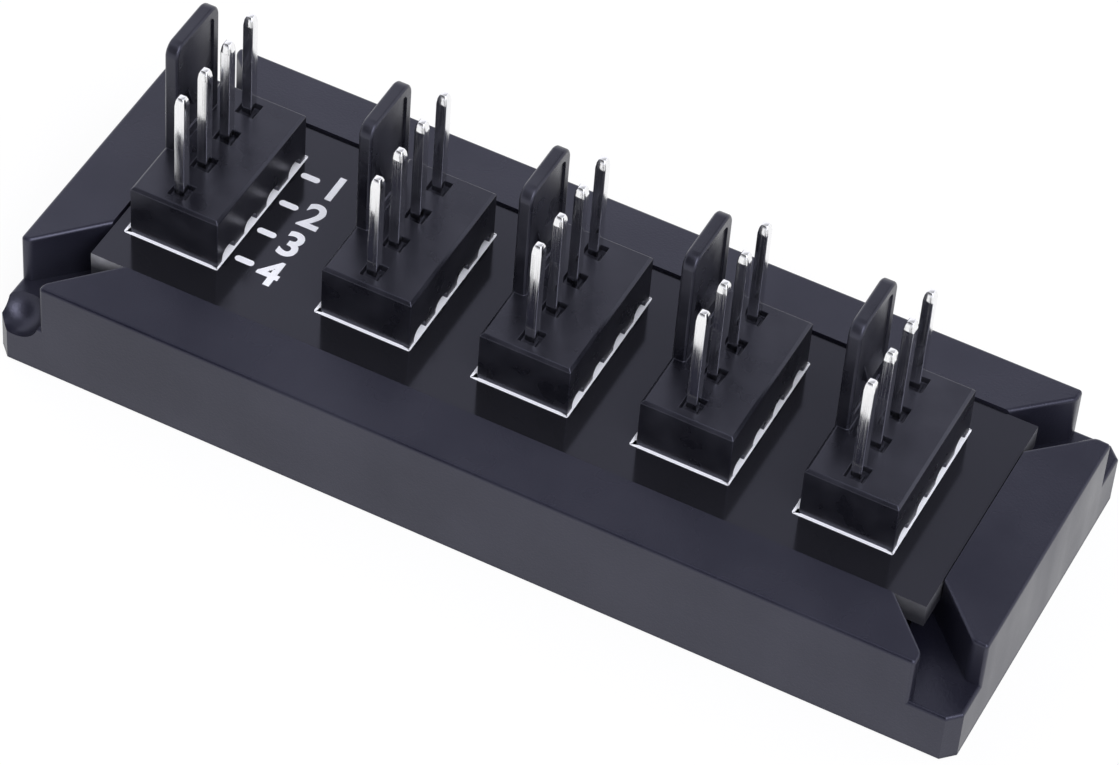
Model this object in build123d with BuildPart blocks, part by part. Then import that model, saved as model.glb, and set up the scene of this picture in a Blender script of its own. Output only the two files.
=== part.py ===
from build123d import *
import os

# A five-port fan hub: a moulded tray, a circuit board lying in it and five four-pin fan headers.
# Millimetres. The origin is the centre of the flat base, X runs along the hub, Y across it, Z up.
# The open side faces up, the first header is at the -X end, and the lead's inlet is in the -X wall.

# Headers, in one row along the board
header_count = 5
first_gap = 12.3             # the marked gap, from the first pin row to the second
header_pitch = 9.9           # between the other pin rows
pins_per_header = 4
pin_pitch = 2.54
header_tab_side = 2.6        # from the pin row to the face that carries the lock tab
header_plug_side = 3.05      # from the pin row to the open face
header_height = 3.54
header_edge = 0.18           # chamfer round the top
pin_pocket = 1.2             # square recess round each pin
pin_pocket_depth = 0.45
foot_arch_width = 1.35       # vents at the foot of the open face, one for each pin
foot_arch_height = 0.7
foot_arch_depth = 0.9
foot_arch_round = 0.5

# Lock tab on each header
tab_thickness = 0.85
tab_width = 4.7
tab_height = 7.86            # above the header's top
tab_end_gap = 1.7            # from the header's +Y end to the tab
tab_corner = 0.85
tab_edge = 0.12
tab_border = 0.65            # raised rim round the tab's inner face
tab_recess = 0.12
tab_recess_corner = 0.4
catch_width = 2.0
catch_top = 3.95             # above the header's top
catch_drop = 1.25
catch_reach = 0.42           # out of the recess

# Pins
pin_size = 0.64
pin_height = 10.83           # tip above the board
pin_tip_length = 0.75
pin_tip_size = 0.3
pin_tail = 1.5               # below the board
pin_tail_taper = 0.3

# Circuit board
board_inlet_margin = 3.65    # from the board's -X edge to the first pin row
board_far_margin = 6.25      # from the last pin row to the board's +X edge
board_front_margin = 2.6     # from the headers' ends to the board's long edges
board_back_margin = 2.3
board_thickness = 1.6
board_clearance = 0.1        # all round, between the board and the rails
board_drop = 0.2             # the board's top lies this far below the rails' inner edges
hole_diameter = 1.0          # plated hole round each pin

# Solder joints
solder_pad_diameter = 1.7
solder_height = 1.0
solder_rim = 0.12            # the mound's upright foot on its pad
solder_neck = 1.0            # diameter at the joint's lower end, clear of the pin's corners
solder_sides = 12            # few faces each, since there are many

# Housing
end_rail_width = 3.95
side_rail_width = 3.75
wall_height = 6.9            # the rails' outer top edges above the base
rail_rise = 0.2              # the rails' tops climb this much from the outer edge to the board
floor_thickness = 1.5
ledge_width = 1.2            # the step that the board lies on
corner_notch = 2.95          # each rail stops this far short of the next outer wall
corner_drop = 3.35           # the corner posts' tops lie this far below the rails' outer edges
side_rail_square = 0.85      # a side rail's end is square for this much, then turns to 45 degrees
end_rail_square = 0.95
inlet_rail_square = 0.55     # the same for all rails at the lead's end
square_round = 0.6           # at that turn
post_chamfer = 0.75          # upright outer corners of the posts
rail_edge_round = 0.22       # rails' outer edges, rail ends and the posts' rims
base_edge = 0.12

# Ball-shaped scoop in the front post at the inlet end
scoop_radius = 1.7
scoop_from_end = 1.2         # its middle, in from the end wall
scoop_from_front = 0.48      # and in from the front wall
scoop_rise = 0.3             # and above the post's top

# Slot for the lead in the hidden end wall
inlet_width = 5.8
inlet_height = 2.0
inlet_floor_gap = 0.6        # from the tray's floor up to the slot
inlet_edge = 0.3

# Worked out from the sizes above
header_length = pins_per_header * pin_pitch
board_length = board_inlet_margin + first_gap + (header_count - 2) * header_pitch + board_far_margin
board_width = header_length + board_front_margin + board_back_margin
pocket_length = board_length + 2 * board_clearance
pocket_width = board_width + 2 * board_clearance
half_length = pocket_length / 2 + end_rail_width
half_width = pocket_width / 2 + side_rail_width
rail_height = wall_height + rail_rise
board_top = rail_height - board_drop
board_underside = board_top - board_thickness
post_height = wall_height - corner_drop
header_row_y = (board_front_margin - board_back_margin) / 2
first_row_x = board_inlet_margin - board_length / 2
header_rows = [first_row_x]
for step in range(header_count - 1):
    header_rows.append(first_row_x + first_gap + step * header_pitch)
# Pin 1 is at the +Y end of a row
middle_pin = (pins_per_header - 1) / 2
pin_places = [header_row_y + (middle_pin - n) * pin_pitch for n in range(pins_per_header)]
tab_centre = header_length / 2 - tab_end_gap - tab_width / 2
edge_band = 0.6              # edges this near the outer walls get the rails' round
near = 0.01                  # tolerance for picking edges by their place


def seat(row_x, height):
    """Level plane on a header's middle, at a height above the board's top."""
    return Plane((row_x, header_row_y, board_top + height))


# Housing: a block under two crossing sections, with a pocket, a cavity, corner channels and an inlet
with BuildPart() as housing:
    with BuildSketch() as base:
        Rectangle(2 * half_length, 2 * half_width)
        chamfer(base.vertices(), length=post_chamfer)
    extrude(amount=rail_height)
    chamfer(housing.faces().sort_by(Axis.Z)[0].edges(), length=base_edge)
    # The rails' tops climb from each outer wall to the pocket
    sections = (
        (Plane.XZ, half_length, pocket_length / 2, half_width),
        (Plane.YZ, half_width, pocket_width / 2, half_length),
    )
    for upright, half_span, half_flat, reach in sections:
        with BuildSketch(upright):
            with BuildLine():
                Polyline(
                    (-half_span, 0),
                    (half_span, 0),
                    (half_span, wall_height),
                    (half_flat, rail_height),
                    (-half_flat, rail_height),
                    (-half_span, wall_height),
                    close=True,
                )
            make_face()
        extrude(amount=reach, both=True, mode=Mode.INTERSECT)

    # Pocket for the board, and below its ledge a cavity for the pins' tails and the lead's wires
    with BuildSketch(Plane.XY.offset(board_underside)):
        Rectangle(pocket_length, pocket_width)
    extrude(amount=rail_height, mode=Mode.SUBTRACT)
    with BuildSketch(Plane.XY.offset(floor_thickness)):
        Rectangle(pocket_length - 2 * ledge_width, pocket_width - 2 * ledge_width)
    extrude(amount=rail_height, mode=Mode.SUBTRACT)

    # Each corner channel runs out at 45 degrees and opens into a square notch above the post
    notch_x = half_length - corner_notch
    notch_y = half_width - corner_notch
    with BuildSketch(Plane.XY.offset(post_height)) as channels:
        squares = ((-1, inlet_rail_square, inlet_rail_square), (1, end_rail_square, side_rail_square))
        for end, end_square, side_square in squares:
            side_turn = (notch_x, half_width - side_square)
            side_run = side_rail_width - side_square + ledge_width
            end_turn = (half_length - end_square, notch_y)
            end_run = end_rail_width - end_square + ledge_width
            outline = [
                (notch_x, half_width + corner_notch),
                side_turn,
                (side_turn[0] - side_run, side_turn[1] - side_run),
                (end_turn[0] - end_run, end_turn[1] - end_run),
                end_turn,
                (half_length + corner_notch, notch_y),
                (half_length + corner_notch, half_width + corner_notch),
            ]
            with BuildLine():
                Polyline(*[(end * x, y) for x, y in outline], close=True)
            make_face()
            for turn in (side_turn, end_turn):
                corner = channels.vertices().sort_by_distance((end * turn[0], turn[1]))[:1]
                fillet(corner, radius=square_round)
        mirror(about=Plane.XZ)
    extrude(amount=rail_height, mode=Mode.SUBTRACT)

    # Rounded edges on the rails and the posts' rims
    outer_edges = housing.edges().filter_by(
        lambda e: abs(e.center().X) > half_length - edge_band or abs(e.center().Y) > half_width - edge_band
    )
    rail_edges = outer_edges.filter_by(lambda e: e.center().Z > post_height + near)
    rim_edges = outer_edges.filter_by(
        lambda e: abs(e.center().Z - post_height) < near
        and abs(e.center().X) > notch_x + near
        and abs(e.center().Y) > notch_y + near
    )
    fillet(rail_edges + rim_edges, radius=rail_edge_round)

    # Slot for the lead through the end wall into the cavity
    inlet_z = floor_thickness + inlet_floor_gap + inlet_height / 2
    with BuildSketch(Plane((-half_length, 0, inlet_z), x_dir=(0, 1, 0), z_dir=(1, 0, 0))):
        SlotOverall(inlet_width, inlet_height)
    extrude(amount=end_rail_width + 2 * ledge_width, mode=Mode.SUBTRACT)
    chamfer(housing.faces().sort_by(Axis.X)[0].inner_wires().edges(), length=inlet_edge)

    scoop_centre = (scoop_from_end - half_length, scoop_from_front - half_width, post_height + scoop_rise)
    with Locations(scoop_centre):
        Sphere(scoop_radius, mode=Mode.SUBTRACT)

# Circuit board
with BuildPart() as circuit_board:
    with BuildSketch(Plane.XY.offset(board_underside)):
        Rectangle(board_length, board_width)
        for row_x in header_rows:
            with Locations(*[(row_x, pin_y) for pin_y in pin_places]):
                Circle(hole_diameter / 2, mode=Mode.SUBTRACT)
    extrude(amount=board_thickness)


def make_header_body(row_x):
    """One moulded header body with its lock tab at the -X side, over a pin row at row_x."""
    spots = [(0, pin_y - header_row_y) for pin_y in pin_places]
    with BuildPart() as body:
        with BuildSketch(seat(row_x, 0)):
            with Locations(((header_plug_side - header_tab_side) / 2, 0)):
                Rectangle(header_tab_side + header_plug_side, header_length)
        extrude(amount=header_height)
        chamfer(body.faces().sort_by(Axis.Z)[-1].edges(), length=header_edge)

        # Lock tab, drawn looking along +X, rising from the board through the body
        tab_plane = Plane(
            (row_x - header_tab_side, header_row_y + tab_centre, board_top), x_dir=(0, 1, 0), z_dir=(1, 0, 0)
        )
        tab_top = header_height + tab_height
        with BuildSketch(tab_plane) as tab:
            with Locations((0, tab_top / 2)):
                Rectangle(tab_width, tab_top)
            fillet(tab.vertices().group_by(Axis.Y)[-1], radius=tab_corner)
        extrude(amount=tab_thickness)
        rims = body.edges().filter_by(lambda e: e.center().Z > board_top + header_height + near)
        chamfer(rims, length=tab_edge)
        with BuildSketch(tab_plane.offset(tab_thickness)) as recess:
            with Locations((0, header_height + tab_height / 2)):
                Rectangle(tab_width - 2 * tab_border, tab_height - 2 * tab_border)
            fillet(recess.vertices().group_by(Axis.Y)[-1], radius=tab_recess_corner)
        extrude(amount=-tab_recess, mode=Mode.SUBTRACT)

        # Catch: a wedge in the recess with its slope on top
        catch_plane = Plane(
            (row_x - header_tab_side + tab_thickness - tab_recess, header_row_y + tab_centre,
             board_top + header_height + catch_top),
            x_dir=(1, 0, 0),
            z_dir=(0, -1, 0),
        )
        with BuildSketch(catch_plane):
            with BuildLine():
                Polyline(
                    (-tab_recess, 0),
                    (0, 0),
                    (catch_reach, -catch_drop),
                    (-tab_recess, -catch_drop),
                    close=True,
                )
            make_face()
        extrude(amount=catch_width / 2, both=True)

        # Pockets and pin holes
        with BuildSketch(seat(row_x, header_height)):
            with Locations(*spots):
                Rectangle(pin_pocket, pin_pocket)
        extrude(amount=-pin_pocket_depth, mode=Mode.SUBTRACT)
        with BuildSketch(seat(row_x, 0)):
            with Locations(*spots):
                Rectangle(pin_size, pin_size)
        extrude(amount=header_height, mode=Mode.SUBTRACT)

        # Arched vents at the foot of the open face
        foot_plane = Plane(
            (row_x + header_plug_side, header_row_y, board_top), x_dir=(0, 1, 0), z_dir=(1, 0, 0)
        )
        with BuildSketch(foot_plane) as arches:
            with Locations(*[(spot[1], foot_arch_height / 2) for spot in spots]):
                Rectangle(foot_arch_width, foot_arch_height)
            fillet(arches.vertices().group_by(Axis.Y)[-1], radius=foot_arch_round)
        extrude(amount=-foot_arch_depth, mode=Mode.SUBTRACT)
    return body.part


def make_pin(row_x, pin_y):
    """One square pin with a tapered tip and tail."""
    with BuildPart() as pin:
        with BuildSketch(Plane((row_x, pin_y, board_underside - pin_tail))):
            Rectangle(pin_size, pin_size)
        extrude(amount=pin_tail + board_thickness + pin_height)
        slant = (pin_size - pin_tip_size) / 2
        tip = pin.faces().sort_by(Axis.Z)[-1]
        chamfer(tip.edges(), length=slant, length2=pin_tip_length, reference=tip)
        tail = pin.faces().sort_by(Axis.Z)[0]
        chamfer(tail.edges(), length=slant, length2=pin_tail_taper, reference=tail)
    return pin.part


def make_solder_joints(row_x):
    """Four solder joints, each a faceted mound round its pin on the board's underside."""
    with BuildPart() as mound:
        with BuildSketch():
            RegularPolygon(solder_pad_diameter / 2, solder_sides)
        extrude(amount=-solder_height)
        foot = mound.faces().sort_by(Axis.Z)[0]
        slant = (solder_pad_diameter - solder_neck) / 2
        chamfer(foot.edges(), length=slant, length2=solder_height - solder_rim, reference=foot)
        with BuildSketch():
            Rectangle(pin_size, pin_size)
        extrude(amount=-solder_height, mode=Mode.SUBTRACT)
    with BuildPart() as joints:
        with Locations(*[(row_x, pin_y, board_underside) for pin_y in pin_places]):
            add(mound.part)
    return joints.part


os.makedirs("parts", exist_ok=True)
housing.part.label = "housing"
export_step(housing.part, "parts/housing.step")
circuit_board.part.label = "circuit_board"
export_step(circuit_board.part, "parts/circuit_board.step")
for number, row_x in enumerate(header_rows, start=1):
    body = make_header_body(row_x)
    body.label = f"header_body_{number}"
    export_step(body, f"parts/{body.label}.step")
    joints = make_solder_joints(row_x)
    joints.label = f"solder_joints_{number}"
    export_step(joints, f"parts/{joints.label}.step")
    for place, pin_y in enumerate(pin_places, start=1):
        pin = make_pin(row_x, pin_y)
        pin.label = f"pin_{number}_{place}"
        export_step(pin, f"parts/{pin.label}.step")
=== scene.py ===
from math import cos, radians, sin

import bpy
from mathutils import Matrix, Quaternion, Vector


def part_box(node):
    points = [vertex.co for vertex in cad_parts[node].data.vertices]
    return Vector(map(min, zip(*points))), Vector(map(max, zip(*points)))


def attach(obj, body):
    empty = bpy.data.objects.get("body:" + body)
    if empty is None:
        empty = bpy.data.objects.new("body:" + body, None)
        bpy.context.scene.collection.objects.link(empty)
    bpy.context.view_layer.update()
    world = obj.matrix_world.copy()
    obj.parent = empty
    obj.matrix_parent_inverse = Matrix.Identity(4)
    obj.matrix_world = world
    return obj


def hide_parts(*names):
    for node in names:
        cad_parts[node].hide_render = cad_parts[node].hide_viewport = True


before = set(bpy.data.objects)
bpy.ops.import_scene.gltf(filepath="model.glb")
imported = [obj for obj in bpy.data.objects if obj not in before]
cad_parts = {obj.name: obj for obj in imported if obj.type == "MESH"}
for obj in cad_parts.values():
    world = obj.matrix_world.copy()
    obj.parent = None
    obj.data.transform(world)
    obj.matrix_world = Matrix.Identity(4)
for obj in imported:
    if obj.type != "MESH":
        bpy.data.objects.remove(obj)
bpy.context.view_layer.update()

# %% [markdown]
# # A five-port fan hub
# The object is a small moulded tray, 60 mm long, with a glossy black circuit board lying in it. Five black
# headers stand on the board. Each has four bright square pins and a lock tab that holds a fan's plug.
# The frame brings the solid pieces at their real size, in metres. This file gives them their finish, and adds
# what is too fine for the solid model: rounded edges on pins and mouldings, and the white print on the board.

# %% Units, and the sizes that the frame gives
mm = 0.001
header_count = 5
pins_per_header = 4
tray_low, tray_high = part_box("housing")
board_low, board_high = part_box("circuit_board")
board_top = board_high.z


def middle(name):
    """The middle of a node's box."""
    low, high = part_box(name)
    return (low + high) / 2


header_rows = []
for number in range(1, header_count + 1):
    row = (middle(f"pin_{number}_1") + middle(f"pin_{number}_{pins_per_header}")) / 2
    row.z = board_top
    header_rows.append(row)
print("tray", [round(v / mm, 2) for v in tray_high - tray_low], "board top", round(board_top / mm, 2))
print("header rows at x", [round(row.x / mm, 2) for row in header_rows])

# %% [markdown]
# ## Camera
# The photograph looks down at the hub from the front right with a long lens, so that parallel edges stay
# nearly parallel. Where the camera stood was worked out from the pins, which stand on a known 2.54 mm pitch.
# The aim is a point near the board's middle. Azimuth turns the camera round it, elevation lifts it, and the
# small roll tips the picture, as a hand-held shot does.

# %% Camera
aim = Vector((1.46, -2.96, 6.9)) * mm
azimuth = radians(23.63)
elevation = radians(47.27)
roll = radians(4.93)
distance = 276.2 * mm
sensor_width = 36
lens_length = 160.3
nearest = 10 * mm
farthest = 10
back = Vector((sin(azimuth) * cos(elevation), -cos(azimuth) * cos(elevation), sin(elevation)))

bpy.ops.object.camera_add()
camera = bpy.context.object
camera.name = "camera"
camera.data.sensor_width = sensor_width
camera.data.lens = lens_length
camera.data.clip_start = nearest
camera.data.clip_end = farthest
camera.rotation_mode = "QUATERNION"
camera.location = aim + back * distance
camera.rotation_quaternion = (-back).to_track_quat("-Z", "Y") @ Quaternion((0, 0, 1), roll)
bpy.context.scene.camera = camera
print("camera", [round(v / mm, 1) for v in camera.location])

# %% [markdown]
# ## Light
# Black plastic has almost no colour of its own: what the eye sees on it is mostly the room. The hub was shot
# in a white tent, where soft light comes from all sides, and that is what a white world gives. Lamps could do
# it too, but each would leave its own bright spot on the gloss, and the photograph shows none.
#
# The tent isn't even, so three patches change its light, each round one direction. The opening in front, left
# of the camera and below it, is dark: the tray's rounded front edges mirror it as a thin dark line. The roof is
# about half as bright: the tops mirror its edge, so they fade towards the front and the right. A soft box
# beside the camera is brighter. No flat face mirrors it towards the camera, and it brings a white that faces up
# to about the value that it is written with.


# %% Tools for nodes
def math_node(tree, operation, first, second):
    """One Math node; each side is a socket or a plain number."""
    node = tree.nodes.new("ShaderNodeMath")
    node.operation = operation
    for socket, value in zip(node.inputs, (first, second)):
        if isinstance(value, (int, float)):
            socket.default_value = value
        else:
            tree.links.new(value, socket)
    return node.outputs[0]


def range_node(tree, value, low, high, to_low=0.0, to_high=1.0, kind="LINEAR"):
    """One Map Range node, held between its ends."""
    node = tree.nodes.new("ShaderNodeMapRange")
    node.interpolation_type = kind
    node.inputs["From Min"].default_value = low
    node.inputs["From Max"].default_value = high
    node.inputs["To Min"].default_value = to_low
    node.inputs["To Max"].default_value = to_high
    tree.links.new(value, node.inputs["Value"])
    return node.outputs["Result"]


# %% A white tent
tent_colour = (0.93, 0.935, 1.0)
tent_light = 1.18
opening_way = Vector((-0.22, -0.77, 0.60))
opening_inner = radians(20)
opening_outer = radians(42)
opening_light = 0.08
roof_way = Vector((0.21, 0.25, 0.95))
roof_inner = radians(26)
roof_outer = radians(46)
roof_light = 0.46
box_way = Vector((0.34, -0.54, 0.77))
box_inner = radians(12)
box_outer = radians(40)
box_light = 5.6

world = bpy.data.worlds.new("white_tent")
bpy.context.scene.world = world
world.use_nodes = True
tent = world.node_tree
looking = tent.nodes.new("ShaderNodeTexCoord").outputs["Generated"]


def patch(way, inner, outer, light):
    """A factor for the tent's light round one direction: light inside the inner angle, 1 outside the outer."""
    dot = tent.nodes.new("ShaderNodeVectorMath")
    dot.operation = "DOT_PRODUCT"
    dot.inputs[1].default_value = way.normalized()
    tent.links.new(looking, dot.inputs[0])
    return range_node(tent, dot.outputs["Value"], cos(outer), cos(inner), 1.0, light, "SMOOTHSTEP")


opening = patch(opening_way, opening_inner, opening_outer, opening_light)
roof = patch(roof_way, roof_inner, roof_outer, roof_light)
soft_box = patch(box_way, box_inner, box_outer, box_light)
strength = math_node(tent, "MULTIPLY", math_node(tent, "MULTIPLY", opening, roof), soft_box)
tent.links.new(math_node(tent, "MULTIPLY", strength, tent_light), tent.nodes["Background"].inputs["Strength"])
tent.nodes["Background"].inputs["Color"].default_value = (*tent_colour, 1)
bpy.context.scene.view_settings.view_transform = "Standard"
print("world", world.name)

# %% [markdown]
# ## Floor
# The photograph's ground is pure white, with hardly any shadow. A white floor alone renders a little grey near
# the object. So the floor mixes two things: its own matt white, which takes the shadow, and a plain glow that
# only the camera, mirrors and glass see. The mix keeps a faint shadow and puts no extra light on the hub. The
# floor lies a hair below the hub's flat base, because two faces at one height flicker when seen from below.

# %% Floor
shadow_share = 0.1
floor_size = 3
floor_gap = 0.02 * mm
floor_white = (0.97, 0.97, 0.97)

bpy.ops.mesh.primitive_plane_add(size=floor_size, location=(0, 0, -floor_gap))
floor = bpy.context.object
floor.name = "floor"
bpy.ops.object.select_all(action="DESELECT")
floor.select_set(True)
bpy.ops.object.transform_apply(location=True, rotation=False, scale=False)
floor_paint = bpy.data.materials.new("floor_paint")
floor_paint.use_nodes = True
tree = floor_paint.node_tree
matt = tree.nodes["Principled BSDF"]
matt.inputs["Base Color"].default_value = (*floor_white, 1)
matt.inputs["Roughness"].default_value = 1
matt.inputs["Specular IOR Level"].default_value = 0
glow = tree.nodes.new("ShaderNodeEmission")
glow.inputs["Color"].default_value = (1, 1, 1, 1)
paths = tree.nodes.new("ShaderNodeLightPath")
seen = paths.outputs["Is Camera Ray"]
for kind in ("Is Glossy Ray", "Is Transmission Ray"):
    seen = math_node(tree, "MAXIMUM", seen, paths.outputs[kind])
blend = tree.nodes.new("ShaderNodeMixShader")
tree.links.new(math_node(tree, "MULTIPLY", seen, 1 - shadow_share), blend.inputs["Fac"])
tree.links.new(matt.outputs[0], blend.inputs[1])
tree.links.new(glow.outputs[0], blend.inputs[2])
tree.links.new(blend.outputs[0], tree.nodes["Material Output"].inputs["Surface"])
floor.data.materials.append(floor_paint)
print("floor", floor_size, "m")

# %% [markdown]
# ## Effects that the finishes share
# A real moulding is never one even colour. Its skin has a very fine grain from the steel mould, broad patches
# where it cooled at different speeds, and places that fingers have made a little smoother. Each effect is a
# node group with named sockets, built once and used in several finishes with other values. They read Object
# coordinates, in metres, so that a grain of 0.1 mm stays 0.1 mm on every piece.


# %% Tools for node groups
def new_group(name, inputs, outputs):
    """An empty shader group with named sockets, its entry and its exit."""
    group = bpy.data.node_groups.new(name, "ShaderNodeTree")
    for title, value in inputs.items():
        socket = group.interface.new_socket(title, in_out="INPUT", socket_type="NodeSocketFloat")
        socket.default_value = value
    for title in outputs:
        group.interface.new_socket(title, in_out="OUTPUT", socket_type="NodeSocketFloat")
    return group, group.nodes.new("NodeGroupInput"), group.nodes.new("NodeGroupOutput")


# %% Mould grain and patches
noise_low = 0.3  # noise seldom leaves this range, so the range is stretched over 0 to 1
noise_high = 0.7

grain_sizes = {"Grain Size": 0.12 * mm, "Patch Size": 5 * mm}
grain, entry, leave = new_group("mould_grain", grain_sizes, ["Height", "Patches"])
place = grain.nodes.new("ShaderNodeTexCoord")
for title, socket_name in (("Grain Size", "Height"), ("Patch Size", "Patches")):
    noise = grain.nodes.new("ShaderNodeTexNoise")
    noise.inputs["Detail"].default_value = 3
    grain.links.new(place.outputs["Object"], noise.inputs["Vector"])
    grain.links.new(math_node(grain, "DIVIDE", 1.0, entry.outputs[title]), noise.inputs["Scale"])
    grain.links.new(range_node(grain, noise.outputs["Fac"], noise_low, noise_high), leave.inputs[socket_name])
print("group", grain.name)

# %% Streaks, along or up a piece
streak_sizes = {"Width": 0.05 * mm, "Length": 4 * mm}
streaks, entry, leave = new_group("drawn_streaks", streak_sizes, ["Height"])
place = streaks.nodes.new("ShaderNodeTexCoord")
split = streaks.nodes.new("ShaderNodeSeparateXYZ")
streaks.links.new(place.outputs["Object"], split.inputs[0])
joined = streaks.nodes.new("ShaderNodeCombineXYZ")
for axis, title in zip("XYZ", ("Width", "Width", "Length")):
    stretched = math_node(streaks, "DIVIDE", split.outputs[axis], entry.outputs[title])
    streaks.links.new(stretched, joined.inputs[axis])
noise = streaks.nodes.new("ShaderNodeTexNoise")
noise.inputs["Scale"].default_value = 1
noise.inputs["Detail"].default_value = 2
streaks.links.new(joined.outputs[0], noise.inputs["Vector"])
streaks.links.new(range_node(streaks, noise.outputs["Fac"], noise_low, noise_high), leave.inputs["Height"])
print("group", streaks.name)


# %% Tools for finishes
def new_finish(name, roughness, metallic=0.0, specular=0.5, tint=(1.0, 1.0, 1.0)):
    """A material with its own shader, where values that are the same all over are set."""
    finish = bpy.data.materials.new(name)
    finish.use_nodes = True
    shader = finish.node_tree.nodes["Principled BSDF"]
    shader.inputs["Roughness"].default_value = roughness
    shader.inputs["Metallic"].default_value = metallic
    shader.inputs["Specular IOR Level"].default_value = specular
    shader.inputs["Specular Tint"].default_value = (*tint, 1)
    return finish.node_tree, shader, finish


def use_group(tree, group, **values):
    """Places a group in a material and sets its inputs; an underscore stands for a space."""
    node = tree.nodes.new("ShaderNodeGroup")
    node.node_tree = group
    for title, value in values.items():
        node.inputs[title.replace("_", " ")].default_value = value
    return node


# %% Tools for colour and bump
def colour_between(tree, mask, dark, light):
    """Mixes two colours by a mask."""
    node = tree.nodes.new("ShaderNodeMix")
    node.data_type = "RGBA"
    tree.links.new(mask, node.inputs[0])
    node.inputs[6].default_value = (*dark, 1)
    node.inputs[7].default_value = (*light, 1)
    return node.outputs[2]


def bump(tree, shader, height, depth):
    """Height in, slightly tilted normals out; depth is in metres."""
    node = tree.nodes.new("ShaderNodeBump")
    node.inputs["Distance"].default_value = depth
    tree.links.new(height, node.inputs["Height"])
    tree.links.new(node.outputs["Normal"], shader.inputs["Normal"])


# %% [markdown]
# ## Tray plastic
# The tray is black ABS from a lightly textured mould. Its satin skin spreads the tent's light into a soft grey,
# a little bluish, and only at a grazing angle does it turn bright. A grain bump gives the satin look, and
# patches change its roughness, as on any moulding. Two marks are added to the roughness: faint drag lines up
# the walls, where the part slid out of the mould, and a duller foot, where it has been set down many times.

# %% Tools that read the surface
facing_low = 0.3  # the upward share of a normal at which a face begins to count as level
facing_high = 0.8


def by_facing(tree, sideways, level):
    """One value on faces that look sideways, and another on faces that look up or down."""
    geometry = tree.nodes.new("ShaderNodeNewGeometry")
    facing = tree.nodes.new("ShaderNodeSeparateXYZ")
    tree.links.new(geometry.outputs["Normal"], facing.inputs[0])
    upward = math_node(tree, "ABSOLUTE", facing.outputs["Z"], 0)
    return range_node(tree, upward, facing_low, facing_high, sideways, level)


def place_on_piece(tree):
    """The place on the piece along X, Y and Z, in metres."""
    place = tree.nodes.new("ShaderNodeTexCoord")
    split = tree.nodes.new("ShaderNodeSeparateXYZ")
    tree.links.new(place.outputs["Object"], split.inputs[0])
    return split.outputs


# %% Tray plastic
cold_shine = (0.76, 0.77, 1.0)
tray_dark = (0.006, 0.006, 0.012)
tray_light = (0.016, 0.016, 0.024)
tray_roughness = (0.23, 0.31)
tray_grain_depth = 0.004 * mm
drag_roughness = (0.05, 0.12)
foot_height = 0.4 * mm
foot_dullness = 0.3

tree, shader, tray_plastic = new_finish("tray_plastic", roughness=0.3, specular=0.53, tint=cold_shine)
skin = use_group(tree, grain, Grain_Size=0.14 * mm, Patch_Size=7 * mm)
skin_colour = colour_between(tree, skin.outputs["Patches"], tray_dark, tray_light)
tree.links.new(skin_colour, shader.inputs["Base Color"])
drag = use_group(tree, streaks, Width=2.6 * mm, Length=40 * mm)
drag_dullness = range_node(tree, drag.outputs["Height"], 0, 1, *drag_roughness)
drag_marks = math_node(tree, "MULTIPLY", by_facing(tree, 1, 0), drag_dullness)
foot = range_node(tree, place_on_piece(tree)["Z"], 0, foot_height, foot_dullness, 0)
marks = math_node(tree, "ADD", drag_marks, foot)
dull = range_node(tree, skin.outputs["Patches"], 0, 1, *tray_roughness)
tree.links.new(math_node(tree, "ADD", dull, marks), shader.inputs["Roughness"])
bump(tree, shader, skin.outputs["Height"], tray_grain_depth)
print("finish", tray_plastic.name)

# %% [markdown]
# ## Circuit board
# The board's top is solder mask, a cured black lacquer that is nearly a mirror. Its cut edges are bare glass
# fibre and resin, matt, and their colour carries painted light: a painted highlight along the upper rim, broken
# by noise, painted shade below it, and painted shade that fades the highlight towards the +X end. One material
# does it all: the surface's own normal tells faces that look up or down from those that look sideways. A very
# slow waviness keeps the mirror from being perfect.

# %% Circuit board lacquer
lacquer_dark = (0.010, 0.010, 0.012)
lacquer_light = (0.012, 0.012, 0.015)
lacquer_waviness = 0.002 * mm
# painted light on the cut edge: the darker colour is painted shade low on the edge and at the +X end, the
# lighter one is fibre under a painted highlight along the upper rim
resin_shade_colour = (0.02, 0.02, 0.022)
fibre_highlight_colour = (0.30, 0.30, 0.31)
highlight_band_start = board_top - 1.1 * mm
highlight_band_end = board_top - 0.15 * mm
# painted shade: the share to which the edge's highlight fades at the +X end
far_end_shade_share = 0.3
chipping = (0.6, 1)
lacquer_roughness = 0.12
edge_roughness = 0.7

tree, shader, board_lacquer = new_finish("board_lacquer", lacquer_roughness, specular=0.47, tint=cold_shine)
skin = use_group(tree, grain, Grain_Size=0.6 * mm, Patch_Size=9 * mm)
lacquer = colour_between(tree, skin.outputs["Patches"], lacquer_dark, lacquer_light)
along = place_on_piece(tree)
# painted highlight along the edge's upper rim, with painted shade below it: the mask rises from 0 to 1 between
# 1.1 mm and 0.15 mm below the board's top
highlight_band = range_node(tree, along["Z"], highlight_band_start, highlight_band_end)
# painted shade along X: the edge's highlight runs from full at the -X end down to that share at the +X end
far_end_shade = range_node(tree, along["X"], board_low.x, board_high.x, 1, far_end_shade_share)
chipped = range_node(tree, skin.outputs["Height"], 0, 1, *chipping)
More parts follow.
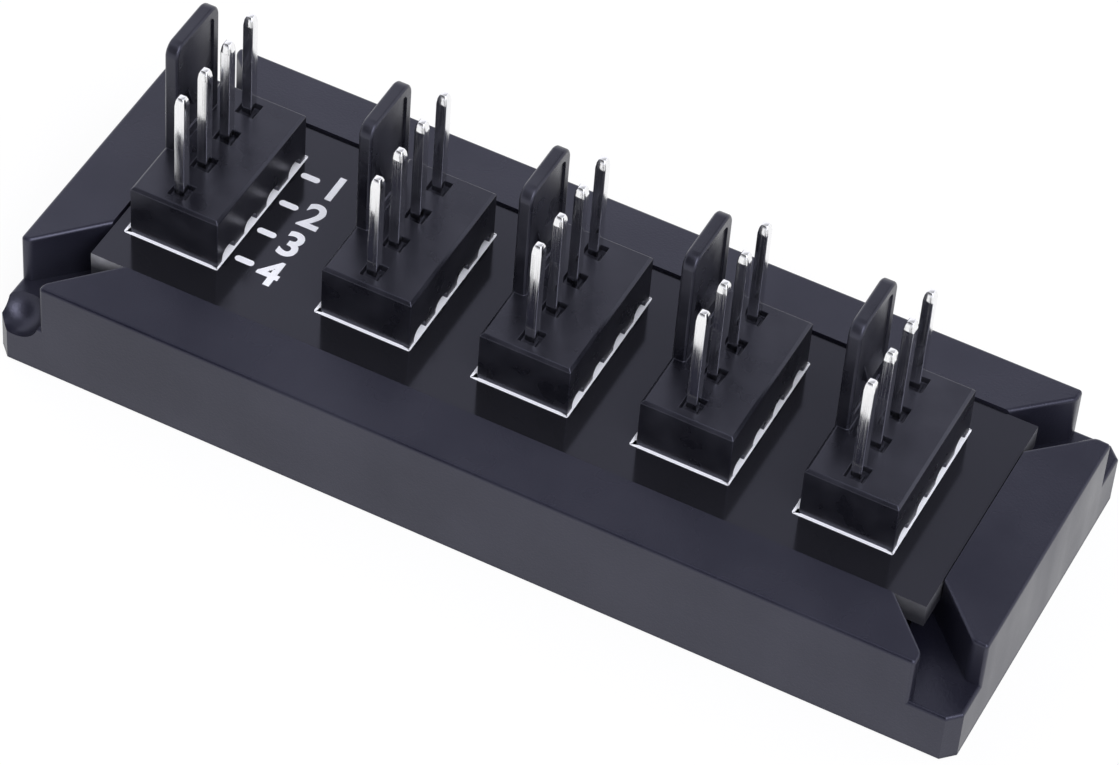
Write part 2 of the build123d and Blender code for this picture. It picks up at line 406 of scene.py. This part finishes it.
# painted light on the edge: the highlight band, its fade along X and the noise make one mask; 0 gives the
# shaded colour, 1 the highlight colour
fibre_highlight_mask = math_node(tree, "MULTIPLY", math_node(tree, "MULTIPLY", highlight_band, far_end_shade), chipped)
edge = colour_between(tree, fibre_highlight_mask, resin_shade_colour, fibre_highlight_colour)
flat = by_facing(tree, 0, 1)
both = tree.nodes.new("ShaderNodeMix")
both.data_type = "RGBA"
tree.links.new(flat, both.inputs[0])
tree.links.new(edge, both.inputs[6])
tree.links.new(lacquer, both.inputs[7])
tree.links.new(both.outputs[2], shader.inputs["Base Color"])
tree.links.new(range_node(tree, flat, 0, 1, edge_roughness, lacquer_roughness), shader.inputs["Roughness"])
bump(tree, shader, skin.outputs["Patches"], lacquer_waviness)
print("finish", board_lacquer.name)

# %% [markdown]
# ## Header nylon
# The headers are glass-filled nylon. It shines more than the tray, so the tall lock tabs mirror the white
# ground behind the hub, but glass near the skin makes the shine blotchy. A coarser grain and strong patches in
# the roughness show that.


# %% A tool for finishes that one mask rules
def vary(tree, shader, mask, dark, light, roughness):
    """Colour and roughness that both follow one mask; roughness is a pair of ends."""
    tree.links.new(colour_between(tree, mask, dark, light), shader.inputs["Base Color"])
    tree.links.new(range_node(tree, mask, 0, 1, *roughness), shader.inputs["Roughness"])


# %% Header nylon
nylon_dark = (0.004, 0.004, 0.006)
nylon_light = (0.014, 0.014, 0.018)
nylon_roughness = (0.24, 0.36)
nylon_grain_depth = 0.0015 * mm

tree, shader, header_nylon = new_finish("header_nylon", roughness=0.3, specular=0.62, tint=cold_shine)
skin = use_group(tree, grain, Grain_Size=0.35 * mm, Patch_Size=2.4 * mm)
vary(tree, shader, skin.outputs["Patches"], nylon_dark, nylon_light, nylon_roughness)
bump(tree, shader, skin.outputs["Height"], nylon_grain_depth)
print("finish", header_nylon.name)

# %% [markdown]
# ## Bright tin on the pins
# The pins are square brass wire, drawn through a die and plated with tin. Drawing leaves fine lines along the
# wire, some polished and some dull. The streak group, stretched upwards, sets the roughness between a mirror
# and a soft sheen, so each pin mirrors the ground sharply and still has a grey haze in its dark parts.

# %% Bright tin
tin_dark = (0.86, 0.86, 0.87)
tin_light = (0.95, 0.95, 0.95)
tin_roughness = (0.04, 0.22)
drawn_line_depth = 0.0004 * mm

tree, shader, bright_tin = new_finish("bright_tin", roughness=0.07, metallic=1.0)
lines = use_group(tree, streaks, Width=0.06 * mm, Length=5 * mm)
vary(tree, shader, lines.outputs["Height"], tin_dark, tin_light, tin_roughness)
bump(tree, shader, lines.outputs["Height"], drawn_line_depth)
print("finish", bright_tin.name)

# %% [markdown]
# ## Solder
# Under the board each pin ends in a small mound of solder. Solder sets with a soft, slightly frosted shine.

# %% Solder
solder_dark = (0.50, 0.51, 0.53)
solder_light = (0.68, 0.69, 0.71)
solder_roughness = (0.22, 0.4)
frost_depth = 0.004 * mm

tree, shader, solder = new_finish("solder_metal", roughness=0.3, metallic=1.0)
skin = use_group(tree, grain, Grain_Size=0.15 * mm, Patch_Size=0.9 * mm)
vary(tree, shader, skin.outputs["Patches"], solder_dark, solder_light, solder_roughness)
bump(tree, shader, skin.outputs["Height"], frost_depth)
print("finish", solder.name)

# %% [markdown]
# ## White print
# The outlines and figures on the board are epoxy ink, pressed through a screen. It is a soft bluish white, a
# little uneven where the mesh of the screen let less ink through.

# %% White print
ink_thin = (0.88, 0.885, 0.92)
ink_full = (0.95, 0.955, 0.98)
mesh_mark_depth = 0.003 * mm

tree, shader, white_print = new_finish("white_print", roughness=0.5)
skin = use_group(tree, grain, Grain_Size=0.09 * mm, Patch_Size=1.2 * mm)
ink_colour = colour_between(tree, skin.outputs["Height"], ink_thin, ink_full)
tree.links.new(ink_colour, shader.inputs["Base Color"])
bump(tree, shader, skin.outputs["Height"], mesh_mark_depth)
print("finish", white_print.name)

# %% Finishes for the solids that stay
kinds = {
    "housing": tray_plastic,
    "circuit_board": board_lacquer,
    "header_body": header_nylon,
    "pin": bright_tin,
    "solder_joints": solder,
}
for name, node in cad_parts.items():
    for start, finish in kinds.items():
        if name.startswith(start):
            node.data.materials.clear()
            node.data.materials.append(finish)
print("dressed", len(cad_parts), "nodes")

# %% [markdown]
# ## Pins
# A real pin has soft edges from the drawing die and a tip that a press has squeezed to four facets. The solid
# in the frame has knife-sharp edges, which catch no light. So one pin is modelled with its edges bevelled, and
# copied to all twenty places. A box is added at the pin's own size, its top face is pulled in by two steps for
# a blunt tip, and one bevel rounds every edge.


# %% Tools for modelling
smooth_angle = radians(60)


def alone(piece):
    """Leaves one piece selected and active."""
    bpy.ops.object.select_all(action="DESELECT")
    piece.select_set(True)
    bpy.context.view_layer.objects.active = piece


def pick_faces(piece, wanted):
    """In edit mode, selects the faces that pass a test, and nothing else."""
    bpy.ops.mesh.select_all(action="DESELECT")
    bpy.ops.object.mode_set(mode="OBJECT")
    for face in piece.data.polygons:
        face.select = wanted(face)
    bpy.ops.object.mode_set(mode="EDIT")


def apply_place(piece):
    """Moves a piece's place into its mesh, so that its object sits at the origin."""
    alone(piece)
    bpy.ops.object.transform_apply(location=True, rotation=True, scale=True)


def flatten_shading(piece):
    """Smooth shading that leaves the large flat faces truly flat and lets only the rounded edges turn."""
    alone(piece)
    bpy.ops.object.shade_smooth_by_angle(angle=smooth_angle)
    weigh = piece.modifiers.new("weigh", "WEIGHTED_NORMAL")
    weigh.weight = 100
    weigh.keep_sharp = True
    bpy.ops.object.modifier_apply(modifier=weigh.name)


def copy_piece(piece, name, shift):
    """A copy with its own mesh, moved by a shift in its mesh."""
    twin = piece.copy()
    twin.data = piece.data.copy()
    twin.name = name
    twin.data.name = name
    bpy.context.collection.objects.link(twin)
    twin.location = shift
    apply_place(twin)
    return twin


# %% One pin
pin_low, pin_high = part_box("pin_1_1")
pin_width = pin_high.x - pin_low.x
tip_length = 0.62 * mm
shoulder_length = 0.4 * mm
shoulder_width = 0.54 * mm
tip_width = 0.36 * mm
tail_width = 0.3 * mm
tail_length = 0.3 * mm
pin_edge = 0.045 * mm
end_facing = 0.9  # the least share of a face's normal that points to the pin's end

bpy.ops.mesh.primitive_cube_add(size=1, location=(pin_low + pin_high) / 2, scale=pin_high - pin_low)
pin = bpy.context.object
pin.name = "pin_piece_1_1"
apply_place(pin)
bpy.ops.object.mode_set(mode="EDIT")
for end, whole, steps in (
    (1, tip_length, ((shoulder_length, shoulder_width), (tip_length - shoulder_length, tip_width))),
    (-1, tail_length, ((tail_length, tail_width),)),
):
    pick_faces(pin, lambda face: face.normal.z * end > end_facing)
    bpy.ops.transform.translate(value=(0, 0, -end * whole))
    width = pin_width
    for step, narrow in steps:
        bpy.ops.mesh.extrude_region_move(TRANSFORM_OT_translate={"value": (0, 0, end * step)})
        bpy.ops.transform.resize(value=(narrow / width, narrow / width, 1))
        width = narrow
bpy.ops.mesh.select_all(action="SELECT")
bpy.ops.mesh.bevel(offset=pin_edge, segments=2, affect="EDGES")
bpy.ops.object.mode_set(mode="OBJECT")
flatten_shading(pin)
pin.data.materials.append(bright_tin)
print("pin", len(pin.data.polygons), "faces", [round(v / mm, 2) for v in pin.dimensions])

# %% All pins
for number in range(1, header_count + 1):
    for place in range(1, pins_per_header + 1):
        node = f"pin_{number}_{place}"
        shift = middle(node) - middle("pin_1_1")
        piece = copy_piece(pin, f"pin_piece_{number}_{place}", shift) if shift.length > 0 else pin
        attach(piece, "root")
        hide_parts(node)
print("pins", header_count * pins_per_header)

# %% [markdown]
# ## Header bodies
# The header in the frame has the right form, but its upright edges are sharp. A copy of it is merged into one
# skin, its flat faces are joined, and a small bevel rounds every edge that is sharper than the facets of its
# curves. The same body serves all five headers.

# %% One header body
header_edge = 0.05 * mm
curve_step = radians(32)
weld_distance = 0.001 * mm
flat_limit = radians(1)

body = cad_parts["header_body_1"].copy()
body.data = body.data.copy()
body.name = "header_piece_1"
body.data.name = body.name
bpy.context.collection.objects.link(body)
body.parent = None
alone(body)
bpy.ops.object.mode_set(mode="EDIT")
bpy.ops.mesh.select_all(action="SELECT")
bpy.ops.mesh.remove_doubles(threshold=weld_distance)
bpy.ops.mesh.dissolve_limited(angle_limit=flat_limit)
bpy.ops.object.mode_set(mode="OBJECT")
soften = body.modifiers.new("soften", "BEVEL")
soften.width = header_edge
soften.segments = 2
soften.limit_method = "ANGLE"
soften.angle_limit = curve_step
soften.use_clamp_overlap = False
bpy.ops.object.modifier_apply(modifier=soften.name)
flatten_shading(body)
print("header body", len(body.data.polygons), "faces")

# %% All header bodies
for number in range(1, header_count + 1):
    node = f"header_body_{number}"
    shift = middle(node) - middle("header_body_1")
    piece = copy_piece(body, f"header_piece_{number}", shift) if shift.length > 0 else body
    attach(piece, "root")
    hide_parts(node)
print("header bodies", header_count)

# %% [markdown]
# ## Printed outlines
# Each header stands in a printed frame, which shows as a thin white line round its foot and through the arches
# of its open side. A plane is added at the frame's size, inset to the line's width, its middle is removed, and
# the ring that is left gets the ink's thickness.

# %% One outline
ink = 0.02 * mm
line_width = 0.45 * mm
outline_low = Vector((-2.94, -5.285, 0)) * mm
outline_high = Vector((3.155, 5.285, 0)) * mm
outline_corner = 0.12 * mm

bpy.ops.mesh.primitive_plane_add(size=1, location=(outline_low + outline_high) / 2 + header_rows[0])
outline = bpy.context.object
outline.name = "outline_1"
outline.scale = (*(outline_high - outline_low).xy, 1)
apply_place(outline)
bpy.ops.object.mode_set(mode="EDIT")
bpy.ops.mesh.select_all(action="SELECT")
bpy.ops.mesh.bevel(offset=outline_corner, segments=3, affect="VERTICES")
bpy.ops.mesh.select_all(action="SELECT")
bpy.ops.mesh.inset(thickness=line_width, use_even_offset=True)
bpy.ops.mesh.delete(type="FACE")
bpy.ops.mesh.select_all(action="SELECT")
bpy.ops.mesh.extrude_region_move(TRANSFORM_OT_translate={"value": (0, 0, ink)})
bpy.ops.mesh.select_all(action="SELECT")
bpy.ops.mesh.normals_make_consistent(inside=False)
bpy.ops.object.mode_set(mode="OBJECT")
outline.data.materials.append(white_print)
print("outline", len(outline.data.polygons), "faces", [round(v / mm, 2) for v in outline.dimensions])

# %% All outlines
for number, row in enumerate(header_rows, start=1):
    shift = row - header_rows[0]
    piece = copy_piece(outline, f"outline_{number}", shift) if shift.length > 0 else outline
    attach(piece, "root")
print("outlines", header_count)

# %% [markdown]
# ## Pin numbers
# Beside the first header the board says which pin is which. Here each pin has a plain number and a bar that
# leads to it. The numbers are text, turned into meshes before they are placed, and thickened a little, because
# screen ink spreads.

# %% Numbers
number_height = 1.95 * mm
font_share = 1.4  # a font's size for each part of its figures' height
ink_spread = 0.07 * mm
number_start = 5.1 * mm

for place in range(1, pins_per_header + 1):
    bpy.ops.object.text_add()
    text = bpy.context.object
    text.data.body = str(place)
    text.data.size = number_height * font_share
    text.data.offset = ink_spread
    text.data.extrude = ink / 2
    alone(text)
    bpy.ops.object.convert(target="MESH")
    figure = bpy.context.object
    figure.name = f"figure_{place}"
    half = figure.dimensions.y / 2
    spot = header_rows[0].copy()
    spot.x += number_start
    spot.y = middle(f"pin_1_{place}").y - half
    spot.z = board_top + ink / 2
    figure.location = spot
    apply_place(figure)
    figure.data.materials.append(white_print)
    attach(figure, "root")
    print("figure", place, [round(v / mm, 2) for v in figure.dimensions])

# %% Bars
bar_start = 3.5 * mm
bar_end = 4.7 * mm
bar_width = 0.42 * mm
bar_round = 0.49 * bar_width

bpy.ops.mesh.primitive_plane_add(size=1)
bar = bpy.context.object
bar.name = "bar_1"
bar.scale = (bar_end - bar_start, bar_width, 1)
bar.location = Vector((header_rows[0].x + (bar_start + bar_end) / 2, middle("pin_1_1").y, board_top))
apply_place(bar)
bpy.ops.object.mode_set(mode="EDIT")
bpy.ops.mesh.select_all(action="SELECT")
bpy.ops.mesh.bevel(offset=bar_round, segments=6, affect="VERTICES")
bpy.ops.mesh.select_all(action="SELECT")
bpy.ops.mesh.extrude_region_move(TRANSFORM_OT_translate={"value": (0, 0, ink)})
bpy.ops.mesh.select_all(action="SELECT")
bpy.ops.mesh.normals_make_consistent(inside=False)
bpy.ops.object.mode_set(mode="OBJECT")
bar.data.materials.append(white_print)
for place in range(1, pins_per_header + 1):
    shift = middle(f"pin_1_{place}") - middle("pin_1_1")
    piece = copy_piece(bar, f"bar_{place}", shift) if shift.length > 0 else bar
    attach(piece, "root")
print("bars", pins_per_header)
